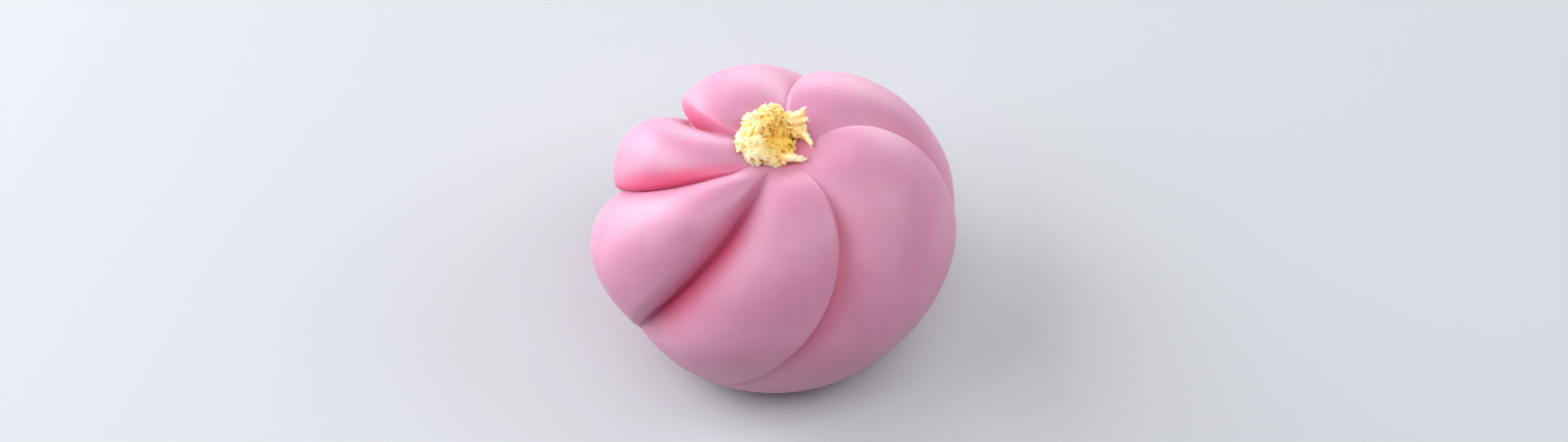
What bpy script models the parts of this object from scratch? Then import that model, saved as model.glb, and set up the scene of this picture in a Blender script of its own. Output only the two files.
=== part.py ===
"""Namagashi: a bun of sweet bean paste carved as a flower, with a tuft of sieved paste on its crown.

Six petals run round the crown like a pinwheel. Each one lies over the next, counted anticlockwise
from above, with a rolled free edge and a groove tucked under it. Metres, +Z up, and the origin
under the crown on the surface that the sweet rests on. The front is -Y.
"""

import math
import random
from typing import NamedTuple

import bmesh
import bpy
from mathutils import Vector, noise
from mathutils.bvhtree import BVHTree

MM = 0.001

# The plain bun
BUN_RADIUS = 22.0 * MM
BUN_HEIGHT = 33.8 * MM
GIRTH_HEIGHT = 15.2 * MM  # level of the widest ring
UNDERSIDE_DEPTH = 20.0 * MM  # the lower half would reach this far down if the foot didn't cut it
FULLNESS = 0.985  # below 1 the bun is fuller than an ellipsoid
DIMPLE_DEPTH = 3.6 * MM
DIMPLE_RADIUS = 5.5 * MM
LEAN = 1.6 * MM  # the crown sits this far forward of the foot
OVAL = 0.03  # the bun is this share longer along the diagonal from front left to back right
FOOT_ROUNDING = 0.6 * MM  # how softly the side turns into the flat foot
FOOT_RUNS_ON = 3.0  # roundings that the side's curve is followed below the foot

# Relief of the petals
RELIEF_STARTS = (5.0, 44.0)  # degrees down from the crown, from none to full
RELIEF_ENDS = (76.0, 112.0)
SWEEP_STARTS = 20.0  # degrees down from the crown where the edges begin to turn
LIP_TURN = 18.0  # degrees that a free edge rolls under, past vertical
UNDERCUT_STARTS = (0.15, 0.65)  # share of the full relief, from no roll under to the whole of it
LEAST_ROLL = 0.9 * MM  # where the relief has faded
MOST_ROLL_SHARE = 0.35  # of a petal's width, that its rolled edge may take

# Mesh of the bun
PETAL_COLUMNS = 16
LIP_COLUMNS = 5
SIDE_RINGS = 45
FOOT_RINGS = 3

# The tuft, clumps of crumbs heaped round a hollow that opens to the front right
TUFT_CENTRE = Vector((-1.1, -0.8)) * MM
TUFT_GAP = 0.35 * MM  # clear of the petals
CORE_CENTRE = TUFT_CENTRE + Vector((-0.9, 0.2)) * MM
CORE_RADIUS = 2.9 * MM
CORE_HEIGHT = 1.2 * MM
CORE_COLUMNS = 16
CORE_RINGS = 8
CLUMP_COLUMNS = 9
CLUMP_RINGS = 7
CLUMP_RAGGEDNESS = 0.45  # share of its radius by which a clump's surface goes in and out
CRUMBS_PER_CLUMP = 3
CRUMB_LENGTHS = (1.0 * MM, 1.7 * MM)
CRUMB_WIDTHS = (0.7 * MM, 1.2 * MM)
CRUMB_BLUNTNESS = 0.55  # 1 tapers like an ellipsoid, less keeps the ends broad
CRUMB_SIDES = 6
CRUMB_RINGS = 4


class Petal(NamedTuple):
    """A petal and its free edge. Angles are in degrees, anticlockwise from +X."""

    edge: float  # direction of the free edge at the crown
    sweep: float  # how far the edge has turned clockwise when it reaches the girth
    curl: float  # 1 turns evenly, more turns late
    rise: float  # height of the edge over the bun
    groove: float  # depth of the groove under the edge
    roll: float  # width of the rolled edge
    swell: float  # height of the pad's middle
    valley: float  # share of the next petal's width that the groove takes


PETALS = (
    Petal(-54.5, 36, 1.5, 0.7 * MM, 1.3 * MM, 0.9 * MM, 0.9 * MM, 0.60),  # front
    Petal(23.5, 30, 1.4, 0.8 * MM, 1.2 * MM, 1.2 * MM, 0.9 * MM, 0.60),  # right
    Petal(86, 25, 1.3, 1.1 * MM, 1.4 * MM, 2.2 * MM, 1.0 * MM, 0.60),  # back right
    Petal(161, 47, 1.0, 1.6 * MM, 2.4 * MM, 1.8 * MM, 1.2 * MM, 0.70),  # back
    Petal(217.5, 57, 0.9, 0.9 * MM, 0.5 * MM, 1.6 * MM, 2.3 * MM, 0.40),  # left
    Petal(246, 26, 1.2, 1.8 * MM, 2.6 * MM, 1.8 * MM, 1.9 * MM, 0.80),  # front left
)


class Clump(NamedTuple):
    """A clump of the tuft: its place from the tuft's centre, its top over the petals, its radius."""

    x: float
    y: float
    top: float
    radius: float


CLUMPS = (
    Clump(-0.3 * MM, 3.0 * MM, 3.5 * MM, 1.55 * MM),  # back, the tallest
    Clump(-2.5 * MM, 2.5 * MM, 2.2 * MM, 1.1 * MM),  # back left
    Clump(-1.8 * MM, 1.1 * MM, 2.9 * MM, 1.1 * MM),  # between the back and the left
    Clump(-3.1 * MM, 0.6 * MM, 2.2 * MM, 1.2 * MM),  # left
    Clump(-3.3 * MM, -1.1 * MM, 1.8 * MM, 1.1 * MM),  # low on the left
    Clump(-1.9 * MM, -0.9 * MM, 2.7 * MM, 1.1 * MM),  # between the left and the hollow
    Clump(-2.2 * MM, -2.3 * MM, 1.9 * MM, 1.3 * MM),  # front left
    Clump(-0.5 * MM, -1.8 * MM, 1.6 * MM, 1.1 * MM),  # front
    Clump(0.9 * MM, 2.2 * MM, 1.9 * MM, 1.1 * MM),  # behind the hollow
    Clump(2.0 * MM, 2.8 * MM, 2.6 * MM, 1.1 * MM),  # back right
    Clump(3.2 * MM, 2.0 * MM, 1.9 * MM, 0.8 * MM),  # right
)


class Strand(NamedTuple):
    """A longer crumb that stands out of the tuft: both ends, over the petals, and its width."""

    foot: tuple
    tip: tuple
    width: float


STRANDS = (
    Strand((3.4 * MM, 1.7 * MM, 1.4 * MM), (4.8 * MM, -0.2 * MM, 0.6 * MM), 1.0 * MM),  # right
    Strand((0.3 * MM, -1.7 * MM, 0.9 * MM), (3.8 * MM, -2.6 * MM, 0.7 * MM), 1.3 * MM),  # low
    Strand((2.1 * MM, 2.6 * MM, 2.0 * MM), (3.8 * MM, 2.6 * MM, 3.5 * MM), 1.4 * MM),  # horn
    Strand((2.4 * MM, 2.3 * MM, 2.0 * MM), (4.1 * MM, 2.0 * MM, 2.7 * MM), 1.2 * MM),  # its twin
)


def smooth_step(low, high, value):
    share = min(max((value - low) / (high - low), 0.0), 1.0)
    return share * share * (3.0 - 2.0 * share)


def bun_profile(fall):
    """Radius and height of the plain bun, fall degrees down from the crown."""
    out, up = math.sin(math.radians(fall)), math.cos(math.radians(fall))
    half = BUN_HEIGHT - GIRTH_HEIGHT if up > 0 else -UNDERSIDE_DEPTH
    radius = BUN_RADIUS * max(out, 0.0) ** FULLNESS
    dimple = DIMPLE_DEPTH * math.exp(-((radius / DIMPLE_RADIUS) ** 2)) if up > 0 else 0.0
    return Vector((radius, GIRTH_HEIGHT + half * abs(up) ** FULLNESS - dimple))


def profile_normal(fall):
    """Outward direction of the plain bun, as radial and upward parts."""
    along = bun_profile(fall + 0.5) - bun_profile(max(fall - 0.5, 0.0))
    return Vector((-along.y, along.x)).normalized()


def even_falls(count):
    """Falls from the crown to the foot's rim, count of them, an even distance apart."""
    foot_up = ((GIRTH_HEIGHT + FOOT_RUNS_ON * FOOT_ROUNDING) / UNDERSIDE_DEPTH) ** (1.0 / FULLNESS)
    foot_fall = 180.0 - math.degrees(math.acos(foot_up))
    fine = [foot_fall * i / 400 for i in range(401)]
    lengths = [0.0]
    for a, b in zip(fine, fine[1:]):
        lengths.append(lengths[-1] + (bun_profile(b) - bun_profile(a)).length)
    falls, at = [], 0
    for i in range(count):
        wanted = lengths[-1] * i / (count - 1)
        while at < len(fine) - 2 and lengths[at + 1] < wanted:
            at += 1
        share = (wanted - lengths[at]) / (lengths[at + 1] - lengths[at])
        falls.append(fine[at] + share * (fine[at + 1] - fine[at]))
    return falls


def over_foot(height):
    """The height with its approach to the foot rounded off, so that it never goes below it."""
    rounded = (height + math.hypot(height, 2.0 * FOOT_ROUNDING)) / 2.0
    lowest = -FOOT_RUNS_ON * FOOT_ROUNDING
    return max(rounded - (lowest + math.hypot(lowest, 2.0 * FOOT_ROUNDING)) / 2.0, 0.0)


def edge_azimuth(number, fall):
    """Direction of a petal's free edge at this fall, in degrees. Numbers go on past a full turn."""
    turns, index = divmod(number, len(PETALS))
    petal = PETALS[index]
    share = max(fall - SWEEP_STARTS, 0.0) / (90.0 - SWEEP_STARTS)
    return 360.0 * turns + petal.edge - petal.sweep * share**petal.curl


def lip_drop(petal, width, roll, undercut):
    """How steeply a rolled edge has to start, so that it carries on the slope of the pad."""
    half_wall = (petal.rise + petal.groove) / (1.0 + math.sin(undercut))
    return 4.0 * petal.swell / max(width - roll, 1e-9) * roll / half_wall


def body_point(turn, fall):
    """A point of the carved bun. The whole part of turn counts petals, its rest crosses one."""
    number = math.floor(turn)
    across = turn - number
    petal, before = PETALS[number % len(PETALS)], PETALS[(number - 1) % len(PETALS)]
    radius, height = bun_profile(fall)
    depth = smooth_step(*RELIEF_STARTS, fall) * (1.0 - smooth_step(*RELIEF_ENDS, fall))
    undercut = math.radians(LIP_TURN) * smooth_step(*UNDERCUT_STARTS, depth)
    start = math.radians(edge_azimuth(number - 1, fall))
    end = math.radians(edge_azimuth(number, fall))
    width = (end - start) * radius
    roll, tuck = (
        min(max(each.roll * depth, LEAST_ROLL), MOST_ROLL_SHARE * width) / max(radius, 1e-9)
        for each in (petal, before)
    )
    tuck *= 1.0 - math.cos(undercut)
    drop = math.atan(lip_drop(petal, width, roll * radius, undercut))
    lip_start = end - roll * (1.0 - math.sin(drop))
    pad_share = 1.0 - LIP_COLUMNS / PETAL_COLUMNS
    if across < pad_share:
        s = across / pad_share
        azimuth = start - tuck + s * (lip_start - start + tuck)
        lift = petal.rise * math.sin(math.pi / 2.0 * s) + petal.swell * 4.0 * s * (1.0 - s)
        lift -= before.groove * max(1.0 - s / before.valley, 0.0) ** 3
    else:
        lip_share = (across - pad_share) / (1.0 - pad_share)
        first = math.pi / 2.0 - drop
        turned = first - (first + undercut) * lip_share
        azimuth = end - roll * (1.0 - math.cos(turned))
        half_wall = (petal.rise + petal.groove) / (math.sin(first) + math.sin(undercut))
        lift = petal.rise - half_wall * (math.sin(first) - math.sin(turned))
    normal = profile_normal(fall)
    radius += normal.x * lift * depth
    height = over_foot(height + normal.y * lift * depth)
    radius *= 1.0 + OVAL * math.sin(2.0 * azimuth)
    forward = LEAN * height / BUN_HEIGHT
    return Vector((radius * math.cos(azimuth), radius * math.sin(azimuth) - forward, height))


def make_body():
    """The carved bun: a sphere's meridians and rings, laid along the petals."""
    columns, rings = PETAL_COLUMNS * len(PETALS), SIDE_RINGS + FOOT_RINGS
    falls = even_falls(SIDE_RINGS + 1)
    bm = bmesh.new()
    bmesh.ops.create_uvsphere(bm, u_segments=columns, v_segments=rings, radius=1.0)
    for vert in bm.verts:
        ring = round(math.acos(max(-1.0, min(1.0, vert.co.z))) / math.pi * rings)
        column = round(math.atan2(vert.co.y, vert.co.x) / math.tau * columns) % columns
        place = body_point(column / PETAL_COLUMNS, falls[min(ring, SIDE_RINGS)])
        if ring >= SIDE_RINGS:
            inward = (rings - ring) / FOOT_RINGS
            place = Vector((place.x * inward, place.y * inward, 0.0))
        vert.co = place
    return object_from(bm, PART, "petals", paste("pink paste", (0.80, 0.36, 0.50), 0.5))


def ground_under(body):
    """A function that gives the height of the petals' surface under a point."""
    bm = bmesh.new()
    bm.from_mesh(body.data)
    tree = BVHTree.FromBMesh(bm)
    bm.free()
    start = 2.0 * BUN_HEIGHT
    return lambda x, y: tree.ray_cast(Vector((x, y, start)), Vector((0.0, 0.0, -1.0)))[0].z


def make_core(ground):
    """The tuft's floor: a low mound that follows the petals underneath."""
    bm = bmesh.new()
    bmesh.ops.create_uvsphere(bm, u_segments=CORE_COLUMNS, v_segments=CORE_RINGS, radius=1.0)
    for vert in bm.verts:
        x = CORE_CENTRE.x + CORE_RADIUS * vert.co.x
        y = CORE_CENTRE.y + CORE_RADIUS * vert.co.y
        height = CORE_HEIGHT * max(vert.co.z, 0.0)
        vert.co = Vector((x, y, ground(x, y) + TUFT_GAP + height))
    return object_from(bm, PART, "tuft", paste("yellow paste", (0.85, 0.62, 0.12), 0.6))


def lift_clear(bm, ground):
    """Raises a piece so that no point of it is nearer to the petals than the gap."""
    sunk = max(ground(vert.co.x, vert.co.y) + TUFT_GAP - vert.co.z for vert in bm.verts)
    bmesh.ops.translate(bm, verts=bm.verts, vec=Vector((0.0, 0.0, max(sunk, 0.0))))


def make_clump(ground, clump, number):
    """A ragged ball, stretched from the floor up to the clump's top."""
    x, y = TUFT_CENTRE.x + clump.x, TUFT_CENTRE.y + clump.y
    half = clump.top / 2.0
    middle = Vector((x, y, ground(x, y) + TUFT_GAP + half))
    bm = bmesh.new()
    bmesh.ops.create_uvsphere(bm, u_segments=CLUMP_COLUMNS, v_segments=CLUMP_RINGS, radius=1.0)
    for vert in bm.verts:
        ragged = 1.0 + CLUMP_RAGGEDNESS * noise.noise(1.6 * vert.co + Vector((number, 0.0, 0.0)))
        size = Vector((clump.radius, clump.radius, half)) * ragged
        vert.co = middle + vert.co * size
    lift_clear(bm, ground)
    object_from(bm, CRUMB_PILE, f"clump {number}", None)


def make_crumb(ground, foot, tip, width, bend, number):
    """A short crumb pushed through a sieve: broad, bent and ragged."""
    along = tip - foot
    lay = along.to_track_quat("Z", "Y").to_matrix()
    bm = bmesh.new()
    bmesh.ops.create_uvsphere(bm, u_segments=CRUMB_SIDES, v_segments=CRUMB_RINGS, radius=1.0)
    for vert in bm.verts:
        ragged = 1.0 + 0.5 * noise.noise(1.7 * vert.co + Vector((0.0, number, 0.0)))
        t = vert.co.z
        out = Vector((vert.co.x, vert.co.y, 0.0))
        blunt = max(out.length, 1e-9) ** (CRUMB_BLUNTNESS - 1.0)
        across = out * blunt * 0.5 * width * ragged * (1.0 - 0.2 * t)
        vert.co = foot + along * (0.5 + 0.5 * t) + lay @ across + bend * t * t
    lift_clear(bm, ground)
    object_from(bm, CRUMB_PILE, f"crumb {number}", None)


def scatter_crumbs(ground, draw):
    """Crumbs that stand out of the upper side of every clump, spread round it."""
    number = 0
    for clump in CLUMPS:
        x, y = TUFT_CENTRE.x + clump.x, TUFT_CENTRE.y + clump.y
        middle = Vector((x, y, ground(x, y) + TUFT_GAP + clump.top / 2.0))
        for _ in range(CRUMBS_PER_CLUMP):
            azimuth = math.tau * (number * 0.618034 % 1.0) + draw.uniform(-0.4, 0.4)
            tilt = math.radians(draw.uniform(5.0, 75.0))
            flat = Vector((math.cos(azimuth), math.sin(azimuth), 0.0)) * math.cos(tilt)
            along = flat + Vector((0.0, 0.0, math.sin(tilt)))
            reach = Vector((clump.radius, clump.radius, clump.top / 2.0)) * along
            length, width = draw.uniform(*CRUMB_LENGTHS), draw.uniform(*CRUMB_WIDTHS)
            foot = middle + 0.55 * reach
            aside = Vector([draw.uniform(-1.0, 1.0) for _ in range(3)])
            bend = aside.cross(along) * 0.3 * length
            make_crumb(ground, foot, foot + along * length, width, bend, number)
            number += 1
    return number


def make_tuft(body):
    """The floor, the clumps and the crumbs, fused as one closed body."""
    ground = ground_under(body)
    tuft = make_core(ground)
    for number, clump in enumerate(CLUMPS):
        make_clump(ground, clump, number)
    number = scatter_crumbs(ground, random.Random(7))
    for strand in STRANDS:
        ends = []
        for x, y, height in (strand.foot, strand.tip):
            x, y = TUFT_CENTRE.x + x, TUFT_CENTRE.y + y
            ends.append(Vector((x, y, ground(x, y) + TUFT_GAP + height)))
        make_crumb(ground, *ends, strand.width, Vector((0.0, 0.0, -0.2 * MM)), number)
        number += 1
    union = tuft.modifiers.new("crumbs", "BOOLEAN")
    union.operation = "UNION"
    union.operand_type = "COLLECTION"
    union.collection = CRUMB_PILE
    graph = bpy.context.evaluated_depsgraph_get()
    fused = bpy.data.meshes.new_from_object(tuft.evaluated_get(graph))
    tuft.modifiers.clear()
    tuft.data = fused
    for crumb in list(CRUMB_PILE.objects):
        bpy.data.objects.remove(crumb, do_unlink=True)
    keep_largest(fused)


def keep_largest(mesh):
    """Drops loose scraps and sealed hollows, which a union can leave beside the main surface."""
    bm = bmesh.new()
    bm.from_mesh(mesh)
    left, shells = set(bm.verts), []
    while left:
        shell, edge_of = set(), [left.pop()]
        while edge_of:
            vert = edge_of.pop()
            shell.add(vert)
            near = {edge.other_vert(vert) for edge in vert.link_edges} & left
            left -= near
            edge_of.extend(near)
        shells.append(shell)
    largest = max(shells, key=len)
    bmesh.ops.delete(bm, geom=[v for v in bm.verts if v not in largest], context="VERTS")
    bmesh.ops.triangulate(bm, faces=bm.faces)
    bm.to_mesh(mesh)
    bm.free()


def object_from(bm, collection, name, material):
    bmesh.ops.triangulate(bm, faces=bm.faces)
    bmesh.ops.recalc_face_normals(bm, faces=bm.faces)
    mesh = bpy.data.meshes.new(name)
    bm.to_mesh(mesh)
    bm.free()
    mesh.shade_smooth()
    if material:
        mesh.materials.append(material)
    obj = bpy.data.objects.new(name, mesh)
    collection.objects.link(obj)
    return obj


def paste(name, colour, roughness):
    material = bpy.data.materials.new(name)
    material.use_nodes = True
    shader = material.node_tree.nodes["Principled BSDF"]
    shader.inputs["Base Color"].default_value = (*colour, 1.0)
    shader.inputs["Roughness"].default_value = roughness
    return material


for old in list(bpy.data.objects):
    bpy.data.objects.remove(old, do_unlink=True)
PART = bpy.data.collections.new("namagashi")
CRUMB_PILE = bpy.data.collections.new("crumbs to fuse")
for made in (PART, CRUMB_PILE):
    bpy.context.scene.collection.children.link(made)
make_tuft(make_body())
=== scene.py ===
"""A namagashi: a bun of pink bean paste carved as a flower, with a crumbly yellow tuft on it.

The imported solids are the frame. The fine petals and the fine tuft are modelled here, in the same
place and at the same size as those solids, and stand for them. Metres, +Z up, the front is -Y.
"""

import math
import random
from typing import NamedTuple

import bmesh
import bpy
import numpy as np
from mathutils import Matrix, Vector, noise
from mathutils.bvhtree import BVHTree


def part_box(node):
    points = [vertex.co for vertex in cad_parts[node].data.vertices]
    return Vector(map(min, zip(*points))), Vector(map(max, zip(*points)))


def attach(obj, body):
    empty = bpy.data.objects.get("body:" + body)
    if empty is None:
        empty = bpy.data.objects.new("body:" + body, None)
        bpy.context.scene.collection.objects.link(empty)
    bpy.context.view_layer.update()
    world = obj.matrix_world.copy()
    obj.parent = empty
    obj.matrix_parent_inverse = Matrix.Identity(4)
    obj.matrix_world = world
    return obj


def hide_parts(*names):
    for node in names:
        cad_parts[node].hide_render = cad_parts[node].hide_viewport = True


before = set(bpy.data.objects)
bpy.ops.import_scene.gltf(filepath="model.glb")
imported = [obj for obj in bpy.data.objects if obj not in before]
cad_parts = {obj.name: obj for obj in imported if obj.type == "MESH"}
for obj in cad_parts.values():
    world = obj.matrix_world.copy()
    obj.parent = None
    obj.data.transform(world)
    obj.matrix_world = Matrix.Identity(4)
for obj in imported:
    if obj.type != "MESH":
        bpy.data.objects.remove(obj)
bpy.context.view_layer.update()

bl_info = {
    "name": "Namagashi",
    "version": (1, 0, 0),
    "blender": (4, 5, 0),
    "location": "View3D > Sidebar > Namagashi",
    "description": "Builds a sweet of bean paste carved as a flower, with a crumbly tuft",
    "category": "Add Mesh",
}

MM = 0.001
GOLDEN_TURN = 0.618034  # of a full turn, which spreads things evenly round a middle


class Petal(NamedTuple):
    """A petal and its free edge. Angles are in degrees, anticlockwise from +X."""

    edge: float  # direction of the free edge at the crown
    sweep: float  # how far the edge has turned clockwise when it reaches the girth
    curl: float  # 1 turns evenly, more turns late
    rise: float  # height of the edge over the bun
    groove: float  # depth of the groove under the edge
    roll: float  # width of the rolled edge
    swell: float  # height of the pad's middle
    valley: float  # share of the next petal's width that the groove takes
    lip_shade: float  # how deep the painted shade is on the rolled edge, from 0 to 1
    valley_shade: float  # how deep the painted shade is in the groove, on the next petal


PETALS = (
    Petal(-54.5, 36, 1.5, 0.7 * MM, 1.3 * MM, 0.9 * MM, 0.9 * MM, 0.60, 0.5, 0.6),  # front
    Petal(23.5, 30, 1.4, 0.8 * MM, 1.2 * MM, 1.2 * MM, 0.9 * MM, 0.60, 0.0, 0.5),  # right
    Petal(86, 25, 1.3, 1.1 * MM, 1.4 * MM, 2.2 * MM, 1.0 * MM, 0.60, 0.0, 0.5),  # back right
    Petal(161, 47, 1.0, 1.6 * MM, 2.4 * MM, 1.8 * MM, 1.2 * MM, 0.70, 0.7, 0.1),  # back
    Petal(217.5, 57, 0.9, 0.9 * MM, 0.5 * MM, 1.6 * MM, 2.3 * MM, 0.40, 1.0, 0.0),  # left
    Petal(246, 26, 1.2, 1.8 * MM, 2.6 * MM, 1.8 * MM, 1.9 * MM, 0.80, 0.55, 1.0),  # front left
)


class Clump(NamedTuple):
    """A clump: its place from the tuft's centre, its top over the petals and its radius."""

    x: float
    y: float
    top: float
    radius: float


CLUMPS = (
    Clump(-0.3 * MM, 3.0 * MM, 3.5 * MM, 1.55 * MM),  # back, the tallest
    Clump(-2.5 * MM, 2.5 * MM, 2.2 * MM, 1.1 * MM),  # back left
    Clump(-1.8 * MM, 1.1 * MM, 2.9 * MM, 1.1 * MM),  # between the back and the left
    Clump(-3.1 * MM, 0.6 * MM, 2.2 * MM, 1.2 * MM),  # left
    Clump(-3.3 * MM, -1.1 * MM, 1.8 * MM, 1.1 * MM),  # low on the left
    Clump(-1.9 * MM, -0.9 * MM, 2.7 * MM, 1.1 * MM),  # between the left and the hollow
    Clump(-2.2 * MM, -2.3 * MM, 1.9 * MM, 1.3 * MM),  # front left
    Clump(-0.5 * MM, -1.8 * MM, 1.6 * MM, 1.1 * MM),  # front
    Clump(0.9 * MM, 2.2 * MM, 1.9 * MM, 1.1 * MM),  # behind the hollow
    Clump(2.0 * MM, 2.8 * MM, 2.6 * MM, 1.1 * MM),  # back right
    Clump(3.2 * MM, 2.0 * MM, 1.9 * MM, 0.8 * MM),  # right
)


class Strand(NamedTuple):
    """A longer crumb that stands out of the tuft: both ends, over the petals, and its width."""

    foot: tuple
    tip: tuple
    width: float


STRANDS = (
    Strand((3.4 * MM, 1.7 * MM, 1.4 * MM), (4.8 * MM, -0.2 * MM, 0.6 * MM), 1.0 * MM),  # right
    Strand((0.3 * MM, -1.7 * MM, 0.9 * MM), (3.8 * MM, -2.6 * MM, 0.7 * MM), 1.3 * MM),  # low
    Strand((2.1 * MM, 2.6 * MM, 2.0 * MM), (3.8 * MM, 2.6 * MM, 3.5 * MM), 1.4 * MM),  # horn
    Strand((2.4 * MM, 2.3 * MM, 2.0 * MM), (4.1 * MM, 2.0 * MM, 2.7 * MM), 1.2 * MM),  # its twin
)


class Lumps(NamedTuple):
    """An uneven surface: its mean distance from the middle, its depth and how fine it is."""

    mean: float
    depth: float
    fineness: float

    def at(self, place, offset=Vector()):
        return self.mean + self.depth * noise.noise(self.fineness * place + offset)


FLOOR_LUMPS = Lumps(1.0, 0.4, 3.0)
CLUMP_LUMPS = Lumps(0.86, 0.30, 1.6)
CRUMB_LUMPS = Lumps(1.0, 0.3, 1.7)


def length(name, description, default):
    return bpy.props.FloatProperty(
        name=name, description=description, default=default, unit="LENGTH", precision=5
    )


def share(name, description, default):
    return bpy.props.FloatProperty(
        name=name, description=description, default=default, subtype="FACTOR", min=0.0, max=1.0
    )


def colour(name, description, default):
    return bpy.props.FloatVectorProperty(
        name=name,
        description=description,
        default=default,
        subtype="COLOR",
        size=3,
        min=0.0,
        max=1.0,
    )


class NamagashiBun(bpy.types.PropertyGroup):
    """Sizes of the carved bun."""

    radius: length("Radius", "Half the width of the plain bun at its girth", 22.0 * MM)
    height: length("Height", "Height of the plain bun before the dimple", 33.8 * MM)
    girth_height: length("Girth height", "Level of the widest ring", 15.2 * MM)
    underside: length("Underside", "How far down the side would reach without a foot", 20.0 * MM)
    fullness: bpy.props.FloatProperty(
        name="Fullness", description="Below 1 the bun is fuller than an ellipsoid", default=0.985
    )
    dimple_depth: length("Dimple depth", "Depth of the dimple at the crown", 3.6 * MM)
    dimple_radius: length("Dimple radius", "Radius of the dimple at the crown", 5.5 * MM)
    lean: length("Lean", "How far forward of the foot the crown sits", 1.6 * MM)
    oval: share("Oval", "How much longer the bun is from front left to back right", 0.03)
    foot_rounding: length("Foot rounding", "How softly the side turns into the foot", 0.6 * MM)
    lip_turn: bpy.props.FloatProperty(
        name="Lip turn",
        description="How far a petal's free edge rolls under, past vertical",
        default=math.radians(18.0),
        subtype="ANGLE",
    )
    unevenness: length("Unevenness", "How far the hand-shaped surface wanders", 0.10 * MM)
    petal_columns: bpy.props.IntProperty(
        name="Petal columns", description="Columns of faces across one petal", default=60
    )
    rings: bpy.props.IntProperty(
        name="Rings", description="Rings of faces from the crown to the foot's rim", default=246
    )


class NamagashiTuft(bpy.types.PropertyGroup):
    """Sizes of the crumbly tuft."""

    centre_x: length("Centre X", "The tuft's centre, to the right of the crown", -1.1 * MM)
    centre_y: length("Centre Y", "The tuft's centre, behind the crown", -0.8 * MM)
    floor_x: length("Floor X", "Where the low mound is, from the tuft's centre", -0.6 * MM)
    floor_y: length("Floor Y", "Where the low mound is, from the tuft's centre", 0.2 * MM)
    floor_radius: length("Floor radius", "Radius of the low mound under the clumps", 3.4 * MM)
    floor_height: length("Floor height", "Height of the low mound under the clumps", 1.2 * MM)
    sunk: length("Sunk", "How deep the tuft is pressed into the petals", 0.10 * MM)
    crumbs_per_clump: bpy.props.IntProperty(
        name="Crumbs per clump", description="Crumbs that stand out of each clump", default=105
    )
    crumb_size: length("Crumb size", "Typical width of a crumb", 0.32 * MM)
    strand_crumbs: bpy.props.IntProperty(
        name="Crumbs per strand", description="Crumbs along each strand", default=80
    )
    floor_crumbs: bpy.props.IntProperty(
        name="Crumbs in the hollow", description="Crumbs on the low mound", default=300
    )
    mesh_size: length("Mesh size", "Size of a face on the tuft", 0.075 * MM)
    raggedness: length("Raggedness", "How far the fine crumb goes in and out", 0.035 * MM)
    seed: bpy.props.IntProperty(name="Seed", description="Which heap is drawn", default=7)


class NamagashiColours(bpy.types.PropertyGroup):
    """Colours of the two pastes, of their painted highlight and painted shade, and of the floor.
    """

    pink: colour("Pink", "The petals' own colour", (0.60, 0.242, 0.372))
    pale_pink: colour("Pale pink", "Paler clouds in the pink", (0.63, 0.268, 0.402))
    # Painted shade: the deep red-pink laid on the rolled edges, in the grooves and round the tuft
    rose: colour("Rose", "The deeper colour down in the grooves", (0.71, 0.085, 0.20))
    # Painted highlight: the paler colour laid on the open tips of the crumbs
    highlight_cream: colour("Cream", "Tips of the crumbs", (0.98, 0.77, 0.48))
    yellow: colour("Yellow", "Sides of the crumbs", (0.98, 0.71, 0.27))
    # Painted shade: the deeper colour laid between the crumbs and in the hollow
    shaded_gold: colour("Gold", "Deep between the crumbs", (0.99, 0.60, 0.13))
    floor: colour("Floor", "The floor that the sweet stands on", (0.52, 0.52, 0.54))


class NamagashiStage(bpy.types.PropertyGroup):
    """The camera and the light."""

    camera_distance: length("Camera distance", "From the camera to the bun's middle", 300.0 * MM)
    camera_height: bpy.props.FloatProperty(
        name="Camera height",
        description="How far the camera looks down",
        default=math.radians(48.2),
        subtype="ANGLE",
    )
    lens: bpy.props.FloatProperty(
        name="Lens", description="Focal length on a sensor 36 mm wide", default=53.1
    )
    light: bpy.props.FloatProperty(
        name="Light", description="Strength of all the lamps together", default=1.0, min=0.0
    )
    sky: bpy.props.FloatProperty(name="Sky", description="Light from all round", default=0.0)


class Lamp(NamedTuple):
    """A soft lamp that faces the sweet. Angles are in degrees, anticlockwise from +X."""

    name: str
    direction: float
    height: float
    width: float
    depth: float
    power: float


LAMPS = (
    Lamp("window", 144, 10, 0.46, 0.30, 3.2),
    Lamp("back window", 77, 10, 0.50, 0.28, 2.4),
    Lamp("left", 180, 40, 0.60, 0.36, 2.9),
    Lamp("ceiling", 290, 64, 0.50, 0.40, 1.8),
    Lamp("right", 0, 38, 0.34, 0.30, 1.2),
)
LAMP_DISTANCE = 0.55
LAMP_TINT = (0.94, 0.97, 1.0)


# The bun and the relief of its petals. A fall is an angle down from the crown, in degrees.
RELIEF_STARTS = (5.0, 44.0)  # falls, from no relief to the whole of it
RELIEF_ENDS = (76.0, 112.0)
SWEEP_STARTS = 20.0  # fall where the edges begin to turn
GIRTH_FALL = 90.0
UNDERCUT_STARTS = (0.15, 0.65)  # share of the relief, from no roll under to the whole of it
LEAST_ROLL = 0.9 * MM  # where the relief has faded
MOST_ROLL_SHARE = 0.35  # of a petal's width, that its rolled edge may take
LIP_SHARE = 5.0 / 16.0  # of a petal's columns that lie on its rolled edge
VALLEY_POWER = 3  # more makes the groove beside an edge narrower at its bottom
SLOPE_STEP = 0.5  # fall each way that a ring's slope is measured over
PROFILE_STEPS = 2000
FOOT_RUNS_ON = 3.0  # roundings that the side's curve is followed below the foot
FOOT_RINGS = 6
WANDER_SIZE = 7.0 * MM  # of the swells and hollows that the hand leaves
CALM_HEIGHT = 3.0 * MM  # above the foot, where they reach their whole depth
TINY = 1e-9  # keeps a division away from zero
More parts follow.
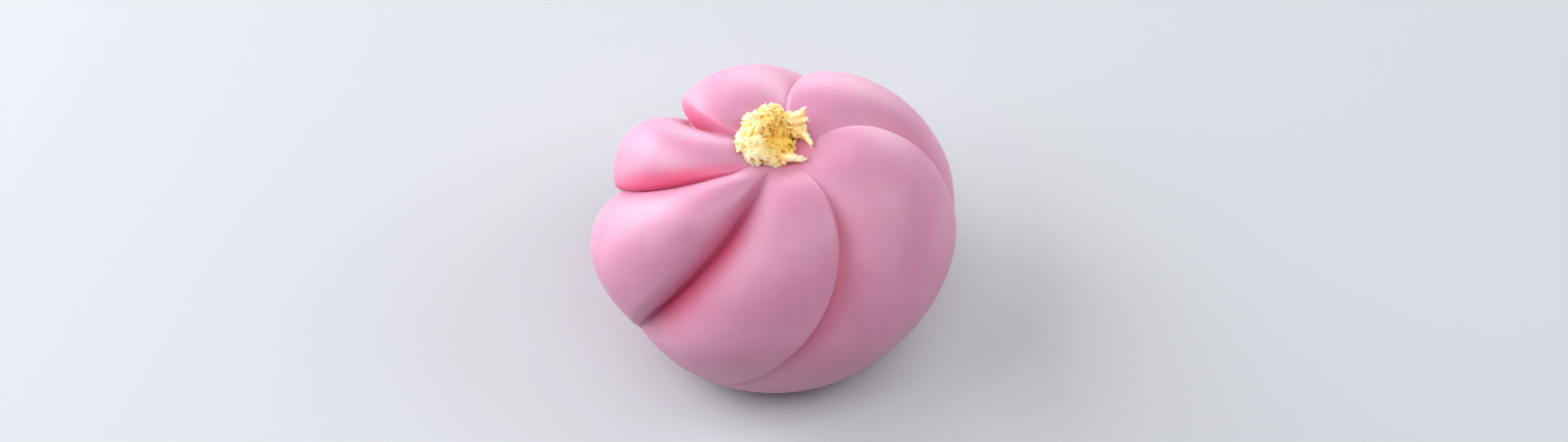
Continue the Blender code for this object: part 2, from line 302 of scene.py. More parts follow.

# The painted shade on the petals: deep red-pink on the rolled edges, in the grooves and round the
# tuft. A place across a pad is a share of its width, and 1 is its edge.
EDGE_SHADE_BEGINS = 1.05  # at the crown, for faint painted shade
EDGE_SHADE_DRIFT = 0.18  # how much later it begins at the girth
EDGE_SHADE_REACH = 0.37  # how much earlier the full painted shade begins
EDGE_SHADE_WIDTH = 0.26
LIP_IN_PADS = 0.3  # the rolled side, counted on in shares of the pad
CROWN_SHADE = 0.45  # how deep the painted shade is round the tuft, where the tuft shades the petals
CROWN_SHADE_WIDTH = 4.5 * MM

# The crumbs of the tuft. Where two numbers stand, each crumb is drawn between them.
AZIMUTH_JITTER = (-0.3, 0.3)  # radians
CRUMB_WIDTHS = (0.55, 1.45)  # shares of the typical width
CRUMB_BLUNTNESS = 0.45  # 0 leaves an egg, and more squares its ends
CRUMB_TAPER = 0.2
CRUMB_BEND = 0.2  # share of its length
CLUMP_CRUMB_LENGTHS = (1.3, 3.2)  # in widths of the crumb
CLUMP_CRUMB_PLACES = (0.93, 1.20)  # in radii of the clump
CLUMP_CRUMB_TILTS = (-0.3, 0.5)  # how much a crumb points out of its clump
CLUMP_COVER = 1.55  # how far down the crumbs go from the top, in radii of the clump
STRAND_CORE = 0.8  # width of the strand under its crumbs
STRAND_SAG = 0.2 * MM
STRAND_CRUMB_LENGTH = 2.2
STRAND_CRUMB_PLACES = (0.20, 0.40)  # in widths of the strand
HOLLOW_CRUMB_LENGTHS = (1.3, 2.6)
HOLLOW_CRUMB_RISES = (0.0, 0.8)  # in widths of the crumb
HOLLOW_CRUMB_LAY = Vector((1.0, 1.0, 0.4))  # lays them flatter than on the clumps
TORN_SIZES = (0.45 * MM, 0.20 * MM)  # of the coarse and the fine tears in the paste
FINE_TEAR = 0.7  # its depth beside the coarse one
TORN_SOFTENING = 0.3

# Where the tuft's painted highlight and painted shade lie: the highlight on the open tips, the
# shade between the crumbs and in the hollow
HOLLOW_CENTRE = Vector((1.2, 0.1)) * MM  # from the tuft's centre
HOLLOW_RADIUS = 2.2 * MM
HOLLOW_SHELTER = 0.6
SHELTER_REACH = 2.5 * MM
SHELTER_RAYS = 24
SHELTER_RAY_START = 0.02 * MM
SHELTER_BLENDS = 10

# The finish of the pastes: from where to where a mask runs, and the roughness of each
GRAIN_SPREAD = (0.3, 0.7)
PINK_CLOUDS = (0.35, 0.70)
PINK_TO_PAINTED_SHADE = (0.1, 1.0)
PINK_ROUGHNESS = (0.42, 0.54)
# from the painted highlight to yellow, and from yellow to the painted shade, along the shelter
HIGHLIGHT_TO_YELLOW = (0.15, 0.45)
YELLOW_TO_SHADE = (0.45, 0.85)
YELLOW_ROUGHNESS = (0.45, 0.65)

FLOOR_HALF_WIDTH = 1.5
FLOOR_GAP = 0.05 * MM
SKY_TINT = (0.86, 0.90, 1.0, 1.0)
VIEW_MIDDLE_X = 0.25 * MM
VIEW_MIDDLE_SHARE = 0.4873  # of the petals' height
SENSOR_WIDTH = 36.0  # millimetres


def smooth_step(low, high, value):
    along = min(max((value - low) / (high - low), 0.0), 1.0)
    return along * along * (3.0 - 2.0 * along)


def bun_profile(bun, fall):
    """Radius and height of the plain bun, fall degrees down from the crown."""
    out, up = math.sin(math.radians(fall)), math.cos(math.radians(fall))
    half = bun.height - bun.girth_height if up > 0 else -bun.underside
    radius = bun.radius * max(out, 0.0) ** bun.fullness
    dimple = bun.dimple_depth * math.exp(-((radius / bun.dimple_radius) ** 2)) if up > 0 else 0.0
    return Vector((radius, bun.girth_height + half * abs(up) ** bun.fullness - dimple))


def even_falls(bun, count):
    """Falls from the crown to the foot's rim, count of them, an even distance apart."""
    deepest = bun.girth_height + FOOT_RUNS_ON * bun.foot_rounding
    foot_up = (deepest / bun.underside) ** (1.0 / bun.fullness)
    foot_fall = 180.0 - math.degrees(math.acos(foot_up))
    fine = [foot_fall * i / PROFILE_STEPS for i in range(PROFILE_STEPS + 1)]
    lengths = [0.0]
    for a, b in zip(fine, fine[1:]):
        lengths.append(lengths[-1] + (bun_profile(bun, b) - bun_profile(bun, a)).length)
    falls, at = [], 0
    for i in range(count):
        wanted = lengths[-1] * i / (count - 1)
        while at < len(fine) - 2 and lengths[at + 1] < wanted:
            at += 1
        along = (wanted - lengths[at]) / (lengths[at + 1] - lengths[at])
        falls.append(fine[at] + along * (fine[at + 1] - fine[at]))
    return falls


def over_foot(bun, height):
    """The height with its approach to the foot rounded off, so that it never goes below it."""
    softness = 2.0 * bun.foot_rounding
    lowest = -FOOT_RUNS_ON * bun.foot_rounding
    rounded = height + math.hypot(height, softness)
    return max((rounded - lowest - math.hypot(lowest, softness)) / 2.0, 0.0)


def edge_azimuth(number, fall):
    """Direction of a petal's free edge at this fall, in degrees. The number may pass the last."""
    turns, index = divmod(number, len(PETALS))
    petal = PETALS[index]
    along = max(fall - SWEEP_STARTS, 0.0) / (GIRTH_FALL - SWEEP_STARTS)
    return 360.0 * turns + petal.edge - petal.sweep * along**petal.curl


class Ring:
    """What all points of one ring of the bun share."""

    def __init__(self, bun, fall):
        self.bun = bun
        self.radius, self.height = bun_profile(bun, fall)
        above = bun_profile(bun, max(fall - SLOPE_STEP, 0.0))
        along = bun_profile(bun, fall + SLOPE_STEP) - above
        self.normal = Vector((-along.y, along.x)).normalized()
        fade = 1.0 - smooth_step(*RELIEF_ENDS, fall)
        self.depth = smooth_step(*RELIEF_STARTS, fall) * fade
        self.undercut = bun.lip_turn * smooth_step(*UNDERCUT_STARTS, self.depth)
        count = len(PETALS)
        self.edges = [math.radians(edge_azimuth(i - 1, fall)) for i in range(count + 1)]

    def roll(self, petal, width):
        widest = MOST_ROLL_SHARE * width
        return min(max(petal.roll * self.depth, LEAST_ROLL), widest) / max(self.radius, TINY)

    def lip_drop(self, petal, width, roll):
        """How steeply a rolled edge has to start, so that it carries on the slope of the pad."""
        half_wall = (petal.rise + petal.groove) / (1.0 + math.sin(self.undercut))
        return 4.0 * petal.swell / max(width - roll, TINY) * roll / half_wall

    def edge_shade(self, petal, s):
        """Painted shade, deepening from just before a petal's edge to the bottom of its rolled
        side.
        """
        share_out = self.radius / self.bun.radius
        begins = EDGE_SHADE_BEGINS + EDGE_SHADE_DRIFT * share_out**2
        begins -= EDGE_SHADE_REACH * petal.lip_shade
        grown = smooth_step(begins, begins + EDGE_SHADE_WIDTH, s)
        return petal.lip_shade * math.sqrt(self.depth) * grown

    def point(self, number, across):
        """A point of the carved bun, and how deep its painted shade is, from 0 to 1."""
        petal, before = PETALS[number], PETALS[number - 1]
        start, end = self.edges[number], self.edges[number + 1]
        width = (end - start) * self.radius
        roll, tuck = self.roll(petal, width), self.roll(before, width)
        tuck *= 1.0 - math.cos(self.undercut)
        drop = math.atan(self.lip_drop(petal, width, roll * self.radius))
        if across < 1.0 - LIP_SHARE:
            s = across / (1.0 - LIP_SHARE)
            lip_start = end - roll * (1.0 - math.sin(drop))
            azimuth = start - tuck + s * (lip_start - start + tuck)
            lift = petal.rise * math.sin(math.pi / 2.0 * s) + petal.swell * 4.0 * s * (1.0 - s)
            valley = max(1.0 - s / before.valley, 0.0) ** VALLEY_POWER
            lift -= before.groove * valley
            # painted shade in the groove under the last petal's edge, or on this petal's coming
            # edge
            shade_amount = self.depth * before.valley_shade * valley
            shade_amount = max(shade_amount, self.edge_shade(petal, s))
        else:
            lip = (across - 1.0 + LIP_SHARE) / LIP_SHARE
            first = math.pi / 2.0 - drop
            turned = first - (first + self.undercut) * lip
            azimuth = end - roll * (1.0 - math.cos(turned))
            half_wall = (petal.rise + petal.groove) / (math.sin(first) + math.sin(self.undercut))
            lift = petal.rise - half_wall * (math.sin(first) - math.sin(turned))
            # painted shade on the rolled side of the edge
            shade_amount = self.edge_shade(petal, 1.0 + LIP_IN_PADS * lip)
        radius = self.radius + self.normal.x * lift * self.depth
        height = over_foot(self.bun, self.height + self.normal.y * lift * self.depth)
        radius *= 1.0 + self.bun.oval * math.sin(2.0 * azimuth)
        forward = self.bun.lean * height / self.bun.height
        place = Vector((radius * math.cos(azimuth), radius * math.sin(azimuth) - forward, height))
        # painted shade round the tuft, where the tuft shades the petals
        crown = CROWN_SHADE * math.exp(-((self.radius / CROWN_SHADE_WIDTH) ** 4))
        return place, max(shade_amount, crown)


def make_petals(bun):
    """The carved bun: a sphere's meridians and rings, laid along the petals."""
    columns = bun.petal_columns * len(PETALS)
    rings = bun.rings + FOOT_RINGS
    ring_of = [Ring(bun, fall) for fall in even_falls(bun, bun.rings + 1)]
    bm = bmesh.new()
    bmesh.ops.create_uvsphere(bm, u_segments=columns, v_segments=rings, radius=1.0)
    # the painted shade of each point, which the pink paste's colour reads
    rose = bm.verts.layers.float.new("rose")
    for vert in bm.verts:
        row = round(math.acos(max(-1.0, min(1.0, vert.co.z))) / math.pi * rings)
        column = round(math.atan2(vert.co.y, vert.co.x) / math.tau * columns) % columns
        number, step = divmod(column, bun.petal_columns)
        place, vert[rose] = ring_of[min(row, bun.rings)].point(number, step / bun.petal_columns)
        if row >= bun.rings:
            inward = (rings - row) / FOOT_RINGS
            place = Vector((place.x * inward, place.y * inward, 0.0))
        vert.co = place
    bmesh.ops.recalc_face_normals(bm, faces=bm.faces)
    bm.normal_update()
    wander = {vert: noise.noise(vert.co / WANDER_SIZE) for vert in bm.verts}
    for vert, amount in wander.items():
        if vert.co.z > 0.0:
            free = min(vert.co.z / CALM_HEIGHT, 1.0)
            vert.co += vert.normal * amount * bun.unevenness * free
    return piece_from(bm, "flower_petals")


def piece_from(bm, name):
    mesh = bpy.data.meshes.new(name)
    bm.to_mesh(mesh)
    bm.free()
    mesh.shade_smooth()
    obj = bpy.data.objects.new(name, mesh)
    bpy.context.scene.collection.objects.link(obj)
    return obj


def tree_of(obj):
    bm = bmesh.new()
    bm.from_mesh(obj.data)
    tree = BVHTree.FromBMesh(bm)
    bm.free()
    return tree


class Heap:
    """The tuft while it is heaped up: a mesh of crumbs over the petals."""

    def __init__(self, tuft, petals):
        self.tuft = tuft
        self.tree = tree_of(petals)
        self.sky = 2.0 * max(corner.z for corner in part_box("petals"))
        self.centre = Vector((tuft.centre_x, tuft.centre_y, 0.0))
        self.draw = random.Random(tuft.seed)
        self.bm = bmesh.new()
        self.crumb_mesh = bpy.data.meshes.new("one crumb")
        self.count = 0

    def ground(self, x, y):
        hit = self.tree.ray_cast(Vector((x, y, self.sky)), Vector((0.0, 0.0, -1.0)))[0]
        return hit.z - self.tuft.sunk

    def over(self, x, y, height):
        """A point at this place from the tuft's centre, and at this height over the petals."""
        x, y = self.centre.x + x, self.centre.y + y
        return Vector((x, y, self.ground(x, y) + height))

    def ball(self, columns, rings, place):
        """Adds a ball whose every point goes where place sends it, raised clear of the petals."""
        one = bmesh.new()
        bmesh.ops.create_uvsphere(one, u_segments=columns, v_segments=rings, radius=1.0)
        self.count += 1
        for vert in one.verts:
            vert.co = place(vert.co.copy())
        sunk = max(self.ground(vert.co.x, vert.co.y) - vert.co.z for vert in one.verts)
        bmesh.ops.translate(one, verts=one.verts, vec=Vector((0.0, 0.0, max(sunk, 0.0))))
        one.to_mesh(self.crumb_mesh)
        one.free()
        self.bm.from_mesh(self.crumb_mesh)

    def floor(self):
        radius, height = self.tuft.floor_radius, self.tuft.floor_height

        def place(co):
            rise = height * FLOOR_LUMPS.at(co) * max(co.z, 0.0)
            x, y = self.tuft.floor_x + radius * co.x, self.tuft.floor_y + radius * co.y
            return self.over(x, y, rise)

        self.ball(32, 16, place)

    def clump(self, clump):
        middle = self.over(clump.x, clump.y, clump.top / 2.0)
        size = Vector((clump.radius, clump.radius, clump.top / 2.0))
        offset = Vector((self.count, 0.0, 0.0))

        def place(co):
            return middle + co * size * CLUMP_LUMPS.at(co, offset)

        self.ball(24, 16, place)

    def crumb(self, foot, tip, width, bend, columns=8, rings=6):
        """A short worm of paste, pushed through a sieve: blunt at both ends, and bent."""
        along = tip - foot
        lay = along.to_track_quat("Z", "Y").to_matrix()
        offset = Vector((0.0, self.count, 0.0))

        def place(co):
            ragged = CRUMB_LUMPS.at(co, offset)
            out = Vector((co.x, co.y, 0.0))
            blunt = max(out.length, TINY) ** -CRUMB_BLUNTNESS
            across = out * blunt * 0.5 * width * ragged * (1.0 - CRUMB_TAPER * co.z)
            return foot + along * (0.5 + 0.5 * co.z) + lay @ across + bend * co.z**2

        self.ball(columns, rings, place)

    def strand(self, strand):
        foot, tip = self.over(*strand.foot), self.over(*strand.tip)
        sag = Vector((0.0, 0.0, -STRAND_SAG))
        self.crumb(foot, tip, STRAND_CORE * strand.width, sag, columns=12, rings=10)

    def loose_crumb(self, middle, way, width, long):
        """A crumb that lies this way, long times as long as it is wide, and bent a little."""
        half = 0.5 * long * width * way
        self.crumb(middle - half, middle + half, width, self.a_way() * CRUMB_BEND * long * width)

    def a_way(self):
        """Any direction."""
        return Vector([self.draw.gauss(0.0, 1.0) for _ in range(3)]).normalized()

    def a_size(self):
        return self.tuft.crumb_size * self.draw.uniform(*CRUMB_WIDTHS)

    def an_azimuth(self, number):
        """A direction for this crumb, so that all of them lie evenly but not in rows."""
        return math.tau * (number * GOLDEN_TURN % 1.0) + self.draw.uniform(*AZIMUTH_JITTER)

    def crumbs_on(self, clump):
        """Crumbs lie over the clump every way, and their ends stand out of it."""
        middle = self.over(clump.x, clump.y, clump.top / 2.0)
        half = Vector((clump.radius, clump.radius, clump.top / 2.0))
        for number in range(self.tuft.crumbs_per_clump):
            azimuth = self.an_azimuth(number)
            up = 1.0 - CLUMP_COVER * (number + 0.5) / self.tuft.crumbs_per_clump
            flat = math.sqrt(1.0 - up * up)
            out = Vector((flat * math.cos(azimuth), flat * math.sin(azimuth), up))
            flat_way = out.cross(self.a_way()).normalized()
            way = (flat_way + out * self.draw.uniform(*CLUMP_CRUMB_TILTS)).normalized()
            place = middle + half * out * self.draw.uniform(*CLUMP_CRUMB_PLACES)
            width, long = self.a_size(), self.draw.uniform(*CLUMP_CRUMB_LENGTHS)
            self.loose_crumb(place, way, width, long)

    def crumbs_along(self, strand):
        foot, tip = self.over(*strand.foot), self.over(*strand.tip)
        for number in range(self.tuft.strand_crumbs):
            along = (number + 0.5) / self.tuft.strand_crumbs
            width = strand.width * (1.1 - 0.4 * along)
            aside = self.a_way() * width * self.draw.uniform(*STRAND_CRUMB_PLACES)
            way = ((tip - foot).normalized() + 0.5 * self.a_way()).normalized()
            place = foot.lerp(tip, along) + aside
            self.loose_crumb(place, way, 0.8 * self.a_size(), STRAND_CRUMB_LENGTH)

    def crumbs_in_hollow(self):
        for number in range(self.tuft.floor_crumbs):
            azimuth = self.an_azimuth(number)
            share_out = math.sqrt((number + 0.5) / self.tuft.floor_crumbs)
            out = self.tuft.floor_radius * share_out
            rise = self.tuft.floor_height * (1.05 * math.sqrt(1.0 - share_out**2) + 0.1)
            rise += self.tuft.crumb_size * self.draw.uniform(*HOLLOW_CRUMB_RISES)
            x = self.tuft.floor_x + out * math.cos(azimuth)
            y = self.tuft.floor_y + out * math.sin(azimuth)
            way = (self.a_way() * HOLLOW_CRUMB_LAY).normalized()
            width, long = self.a_size(), self.draw.uniform(*HOLLOW_CRUMB_LENGTHS)
            self.loose_crumb(self.over(x, y, rise), way, width, long)


def remeshed(obj, size):
    """Fuses the crumbs of a heap into one skin of even faces."""
    fuse = obj.modifiers.new("fuse", "REMESH")
    fuse.mode = "VOXEL"
    fuse.voxel_size = size
    graph = bpy.context.evaluated_depsgraph_get()
    fused = bpy.data.meshes.new_from_object(obj.evaluated_get(graph))
    obj.modifiers.clear()
    heap = obj.data
    obj.data = fused
    bpy.data.meshes.remove(heap)
    fused.name = obj.name
    fused.shade_smooth()


def keep_largest(bm):
    """Drops every loose shell but the largest."""
    seen, largest = set(), []
    for first in bm.verts:
        if first in seen:
            continue
        seen.add(first)
        shell, ahead = [first], [first]
        while ahead:
            for edge in ahead.pop().link_edges:
                for vert in edge.verts:
                    if vert not in seen:
                        seen.add(vert)
                        shell.append(vert)
                        ahead.append(vert)
        largest = max(largest, shell, key=len)
    kept = set(largest)
    bmesh.ops.delete(bm, geom=[vert for vert in bm.verts if vert not in kept], context="VERTS")


def soften(bm, amount):
    """Draws every point this share of the way to the middle of its neighbours."""
    axes = {"use_axis_x": True, "use_axis_y": True, "use_axis_z": True}
    bmesh.ops.smooth_vert(bm, verts=bm.verts, factor=amount, **axes)


def roughen(obj, amount):
    """Moves each point in or out by two sizes of noise, the finer one sharp like torn paste."""
    bm = bmesh.new()
    bm.from_mesh(obj.data)
    keep_largest(bm)
    bm.normal_update()
    moves = []
    for vert in bm.verts:
        coarse, fine = (noise.noise(vert.co / size) for size in TORN_SIZES)
        moves.append(vert.normal * amount * (coarse + FINE_TEAR * fine))
    for vert, move in zip(bm.verts, moves):
        vert.co += move
    soften(bm, TORN_SOFTENING)
    bm.to_mesh(obj.data)
    bm.free()


def blended(obj, values, times):
    """The points' values, averaged again and again with those of their neighbours."""
    ends = np.empty(2 * len(obj.data.edges), dtype=np.int64)
    obj.data.edges.foreach_get("vertices", ends)
    one, other = ends[::2], ends[1::2]
    values = np.array(values)
    size = len(values)
    shares = 1.0 + np.bincount(one, minlength=size) + np.bincount(other, minlength=size)
    for _ in range(times):
        near = np.bincount(one, values[other], size) + np.bincount(other, values[one], size)
        values = (values + near) / shares
    return values


def all_round(count):
    """Directions spread evenly over a ball."""
    directions = []
    for number in range(count):
        up = 1.0 - 2.0 * (number + 0.5) / count
        turn = math.tau * (number * GOLDEN_TURN % 1.0)
        flat = math.sqrt(1.0 - up * up)
        directions.append(Vector((flat * math.cos(turn), flat * math.sin(turn), up)))
    return directions


def mark_shelter(obj, tuft):
    """Gives each point how sheltered it is, by the crumbs round it and in the heap's hollow, which
    sets the painted highlight and the painted shade of the yellow paste.
    """
    tree = tree_of(obj)
    directions = all_round(SHELTER_RAYS)
    centre = Vector((tuft.centre_x, tuft.centre_y))
    sheltered = []
    for vert in obj.data.vertices:
        start = vert.co + vert.normal * SHELTER_RAY_START
        ahead = [way for way in directions if way.dot(vert.normal) > 0.1]
        hits = sum(1 for way in ahead if tree.ray_cast(start, way, SHELTER_REACH)[0])
        off = vert.co.xy - centre - HOLLOW_CENTRE
        hollow = HOLLOW_SHELTER * math.exp(-((off.length / HOLLOW_RADIUS) ** 2))
        sheltered.append(min(hits / len(ahead) + hollow, 1.0))
    layer = obj.data.attributes.new("shelter", "FLOAT", "POINT")
    layer.data.foreach_set("value", blended(obj, sheltered, SHELTER_BLENDS))


def make_tuft(tuft, petals):
    """Clumps, crumbs and strands of sieved paste, fused into one ragged heap."""
    heap = Heap(tuft, petals)
    heap.floor()
    heap.crumbs_in_hollow()
    for clump in CLUMPS:
        heap.clump(clump)
        heap.crumbs_on(clump)
    for strand in STRANDS:
        heap.strand(strand)
        heap.crumbs_along(strand)
    obj = piece_from(heap.bm, "sieved_tuft")
    bpy.data.meshes.remove(heap.crumb_mesh)
    remeshed(obj, tuft.mesh_size)
    roughen(obj, tuft.raggedness)
    mark_shelter(obj, tuft)
    return obj


def grain_group():
    """The grain and the cloudiness that both pastes share."""
    name = "Paste grain"
    if name in bpy.data.node_groups:
        return bpy.data.node_groups[name]
    group = bpy.data.node_groups.new(name, "ShaderNodeTree")
    face = group.interface
    face.new_socket("Vector", in_out="INPUT", socket_type="NodeSocketVector")
    for title, default in (("Grain size", 0.2), ("Cloud size", 5.0), ("Depth", 0.02)):
        socket = face.new_socket(title, in_out="INPUT", socket_type="NodeSocketFloat")
        socket.default_value = default
        socket.description = f"{title} in millimetres"
    face.new_socket("Cloud", in_out="OUTPUT", socket_type="NodeSocketFloat")
    face.new_socket("Grain", in_out="OUTPUT", socket_type="NodeSocketFloat")
    face.new_socket("Normal", in_out="OUTPUT", socket_type="NodeSocketVector")
    nodes, link = group.nodes, group.links.new
    given, out = nodes.new("NodeGroupInput"), nodes.new("NodeGroupOutput")

    def noise_of(size_socket, detail, place):
        scale = nodes.new("ShaderNodeMath")
        scale.operation = "DIVIDE"
        scale.inputs[0].default_value = 1.0 / MM
        link(given.outputs[size_socket], scale.inputs[1])
        texture = nodes.new("ShaderNodeTexNoise")
        texture.inputs["Detail"].default_value = detail
        texture.location = place
        link(given.outputs["Vector"], texture.inputs["Vector"])
        link(scale.outputs[0], texture.inputs["Scale"])
        return texture.outputs["Fac"]

    cloud = noise_of("Cloud size", 3.0, (-300, 200))
    grain = noise_of("Grain size", 2.0, (-300, -100))
    bump = nodes.new("ShaderNodeBump")
    depth = nodes.new("ShaderNodeMath")
    depth.operation = "MULTIPLY"
    depth.inputs[1].default_value = MM
    link(given.outputs["Depth"], depth.inputs[0])
    link(depth.outputs[0], bump.inputs["Distance"])
    link(grain, bump.inputs["Height"])
    link(cloud, out.inputs["Cloud"])
    link(grain, out.inputs["Grain"])
    link(bump.outputs["Normal"], out.inputs["Normal"])
    return group


def new_material(name):
    material = bpy.data.materials.new(name)
    material.use_nodes = True
    return material, material.node_tree.nodes, material.node_tree.links.new


def place_grain(nodes, link, grain_size, cloud_size, depth):
    where = nodes.new("ShaderNodeTexCoord")
    grain = nodes.new("ShaderNodeGroup")
    grain.node_tree = grain_group()
    link(where.outputs["Object"], grain.inputs["Vector"])
    grain.inputs["Grain size"].default_value = grain_size
    grain.inputs["Cloud size"].default_value = cloud_size
    grain.inputs["Depth"].default_value = depth
    return grain


def mixed(nodes, link, amount, first, second):
    """A mix of two colours, each a socket or a plain colour."""
    mix = nodes.new("ShaderNodeMix")
    mix.data_type = "RGBA"
    link(amount, mix.inputs["Factor"])
    for name, value in (("A", first), ("B", second)):
        socket = [s for s in mix.inputs if s.name == name and s.type == "RGBA"][0]
        if isinstance(value, bpy.types.NodeSocket):
            link(value, socket)
        else:
            socket.default_value = (*value, 1.0)
    return [s for s in mix.outputs if s.type == "RGBA"][0]


def eased(nodes, link, value, low, high, to_low=0.0, to_high=1.0):
    """The value, stretched so that low becomes to_low and high becomes to_high."""
    ease = nodes.new("ShaderNodeMapRange")
    ease.interpolation_type = "SMOOTHSTEP"
    for name, number in (
        ("From Min", low),
        ("From Max", high),
        ("To Min", to_low),
        ("To Max", to_high),
    ):
        ease.inputs[name].default_value = number
    link(value, ease.inputs["Value"])
    return ease.outputs["Result"]


def attribute(nodes, name):
    reader = nodes.new("ShaderNodeAttribute")
    reader.attribute_name = name
    return reader.outputs["Fac"]


def pink_paste(colours):
    """Smooth bean paste: satin, a little translucent, with painted shade of deep red-pink in the
    grooves, on the rolled edges and round the tuft.
    """
    material, nodes, link = new_material("pink bean paste")
    shader = nodes["Principled BSDF"]
    grain = place_grain(nodes, link, grain_size=0.22, cloud_size=6.0, depth=0.012)
    cloud = eased(nodes, link, grain.outputs["Cloud"], *PINK_CLOUDS)
    plain = mixed(nodes, link, cloud, colours.pink, colours.pale_pink)
    # painted shade: the deep red-pink mixed in where the attribute says
    deep = eased(nodes, link, attribute(nodes, "rose"), *PINK_TO_PAINTED_SHADE)
    link(mixed(nodes, link, deep, plain, colours.rose), shader.inputs["Base Color"])
    rough = eased(nodes, link, grain.outputs["Grain"], *GRAIN_SPREAD, *PINK_ROUGHNESS)
    link(rough, shader.inputs["Roughness"])
    link(grain.outputs["Normal"], shader.inputs["Normal"])
    shader.inputs["Subsurface Weight"].default_value = 0.6
    shader.inputs["Subsurface Radius"].default_value = (1.0, 0.30, 0.38)
    shader.inputs["Subsurface Scale"].default_value = 1.6 * MM
    shader.inputs["IOR"].default_value = 1.6
    return material


def yellow_paste(colours):
    """Sieved paste: yellow, with a paler painted highlight on the open tips of the crumbs and a
    deeper painted shade between them and in the hollow.
    """
    material, nodes, link = new_material("yellow sieved paste")
    shader = nodes["Principled BSDF"]
    grain = place_grain(nodes, link, grain_size=0.10, cloud_size=2.0, depth=0.02)
    # the shelter sets the painted highlight on open tips and the painted shade between the crumbs
    sheltered = attribute(nodes, "shelter")
    aside = eased(nodes, link, sheltered, *HIGHLIGHT_TO_YELLOW)
    sides = mixed(nodes, link, aside, colours.highlight_cream, colours.yellow)
    deep = eased(nodes, link, sheltered, *YELLOW_TO_SHADE)
    link(mixed(nodes, link, deep, sides, colours.shaded_gold), shader.inputs["Base Color"])
    rough = eased(nodes, link, grain.outputs["Grain"], *GRAIN_SPREAD, *YELLOW_ROUGHNESS)
    link(rough, shader.inputs["Roughness"])
    link(grain.outputs["Normal"], shader.inputs["Normal"])
    shader.inputs["Subsurface Weight"].default_value = 1.0
    shader.inputs["Subsurface Radius"].default_value = (1.0, 0.6, 0.25)
    shader.inputs["Subsurface Scale"].default_value = 1.4 * MM
    return material


def floor_paint(colours):
    """A plain pale floor."""
    material, nodes, link = new_material("pale floor")
    shader = nodes["Principled BSDF"]
    shader.inputs["Base Color"].default_value = (*colours.floor, 1.0)
    shader.inputs["Roughness"].default_value = 0.7
    return material


def finish_piece(piece, material, node):
    """Dresses a piece and lets it stand for its solid."""
    piece.data.materials.clear()
    piece.data.materials.append(material)
    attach(piece, "root")
    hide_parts(node)


class NAMAGASHI_OT_petals(bpy.types.Operator):
    """Carve the pink bun into its petals"""

    bl_idname = "namagashi.petals"
    bl_label = "Carve petals"

    def execute(self, context):
        piece = make_petals(context.scene.namagashi_bun)
        paint = pink_paste(context.scene.namagashi_colours)
        finish_piece(piece, paint, "petals")
        return {"FINISHED"}


class NAMAGASHI_OT_tuft(bpy.types.Operator):
    """Heap the sieved yellow paste on the crown"""

    bl_idname = "namagashi.tuft"
    bl_label = "Heap tuft"

    def execute(self, context):
        petals = bpy.data.objects.get("flower_petals")
        if petals is None:
            raise RuntimeError("Carve the petals first: the tuft is heaped on them")
        piece = make_tuft(context.scene.namagashi_tuft, petals)
        paint = yellow_paste(context.scene.namagashi_colours)
        finish_piece(piece, paint, "tuft")
        return {"FINISHED"}


def aim(obj, place, target):
    obj.location = place
    obj.rotation_euler = (target - place).to_track_quat("-Z", "Y").to_euler()
    bpy.context.scene.collection.objects.link(obj)


def away(direction, height):
    """The way from the middle of the sweet towards a lamp or the camera, from two angles."""
    flat = math.cos(height)
    return Vector((flat * math.cos(direction), flat * math.sin(direction), math.sin(height)))


def hang_lamp(lamp, middle, strength):
    light = bpy.data.lights.new(lamp.name, "AREA")
    light.shape = "RECTANGLE"
    light.size = lamp.width
    light.size_y = lamp.depth
    light.energy = lamp.power * strength
    light.color = LAMP_TINT
    way = away(math.radians(lamp.direction), math.radians(lamp.height))
    aim(bpy.data.objects.new(lamp.name, light), middle + way * LAMP_DISTANCE, middle)


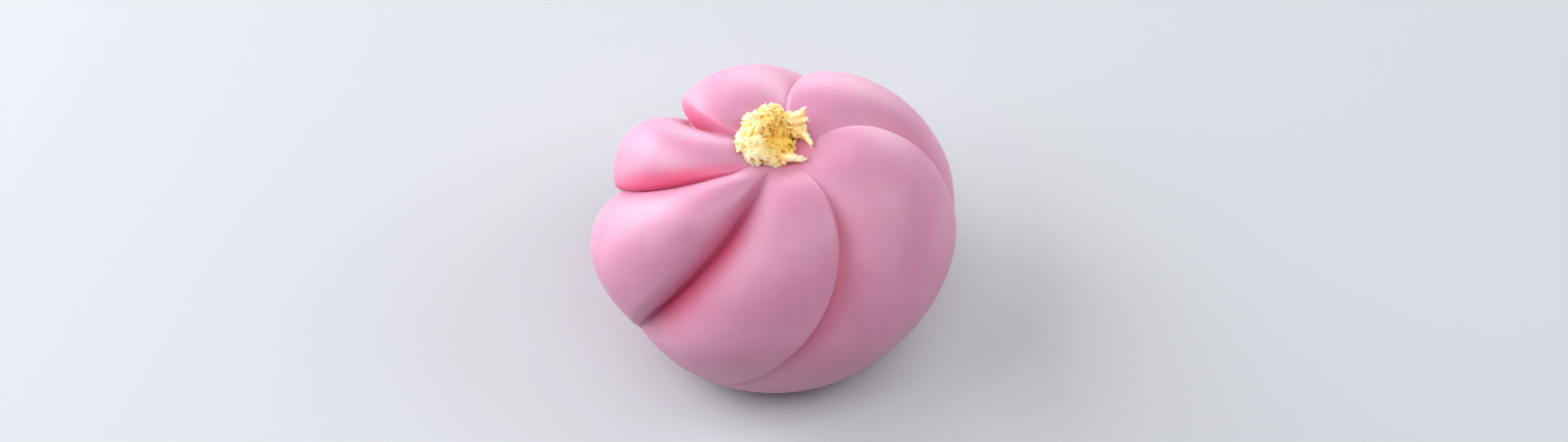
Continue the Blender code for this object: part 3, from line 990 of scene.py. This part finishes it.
class NAMAGASHI_OT_stage(bpy.types.Operator):
    """Set up the floor, the light and the camera"""

    bl_idname = "namagashi.stage"
    bl_label = "Set the stage"

    def execute(self, context):
        stage = context.scene.namagashi_stage
        low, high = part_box("petals")
        level = low.z + VIEW_MIDDLE_SHARE * (high.z - low.z)
        middle = Vector((VIEW_MIDDLE_X, 0.0, level))
        bm = bmesh.new()
        bmesh.ops.create_grid(bm, x_segments=1, y_segments=1, size=FLOOR_HALF_WIDTH)
        bmesh.ops.translate(bm, verts=bm.verts, vec=Vector((0.0, 0.0, low.z - FLOOR_GAP)))
        floor = piece_from(bm, "floor")
        floor.data.materials.append(floor_paint(context.scene.namagashi_colours))
        for lamp in LAMPS:
            hang_lamp(lamp, middle, stage.light)
        world = bpy.data.worlds.new("soft room")
        world.use_nodes = True
        sky = world.node_tree.nodes["Background"]
        sky.inputs["Color"].default_value = SKY_TINT
        sky.inputs["Strength"].default_value = stage.sky
        context.scene.world = world
        context.scene.view_settings.view_transform = "Standard"
        lens = bpy.data.cameras.new("camera")
        lens.lens = stage.lens
        lens.sensor_width = SENSOR_WIDTH
        lens.clip_start = 0.01
        camera = bpy.data.objects.new("camera", lens)
        back = away(math.radians(-90.0), stage.camera_height) * stage.camera_distance
        aim(camera, middle + back, middle)
        context.scene.camera = camera
        return {"FINISHED"}


class NAMAGASHI_PT_sidebar(bpy.types.Panel):
    """Sizes, colours and steps of the sweet"""

    bl_idname = "NAMAGASHI_PT_sidebar"
    bl_label = "Namagashi"
    bl_space_type = "VIEW_3D"
    bl_region_type = "UI"
    bl_category = "Namagashi"

    def draw(self, context):
        for group, step in STEPS:
            box = self.layout.box()
            if step:
                box.operator(step)
            settings = getattr(context.scene, group)
            for name in settings.__annotations__:
                box.prop(settings, name)


STEPS = (
    ("namagashi_colours", None),
    ("namagashi_bun", "namagashi.petals"),
    ("namagashi_tuft", "namagashi.tuft"),
    ("namagashi_stage", "namagashi.stage"),
)
SETTINGS = {
    "namagashi_bun": NamagashiBun,
    "namagashi_tuft": NamagashiTuft,
    "namagashi_colours": NamagashiColours,
    "namagashi_stage": NamagashiStage,
}
CLASSES = (
    *SETTINGS.values(),
    NAMAGASHI_OT_petals,
    NAMAGASHI_OT_tuft,
    NAMAGASHI_OT_stage,
    NAMAGASHI_PT_sidebar,
)


def register():
    for made in CLASSES:
        bpy.utils.register_class(made)
    for name, group in SETTINGS.items():
        setattr(bpy.types.Scene, name, bpy.props.PointerProperty(type=group))


def unregister():
    for name in SETTINGS:
        delattr(bpy.types.Scene, name)
    for made in reversed(CLASSES):
        bpy.utils.unregister_class(made)


def main():
    register()
    bpy.ops.namagashi.petals()
    bpy.ops.namagashi.tuft()
    bpy.ops.namagashi.stage()


if __name__ == "__main__":
    main()
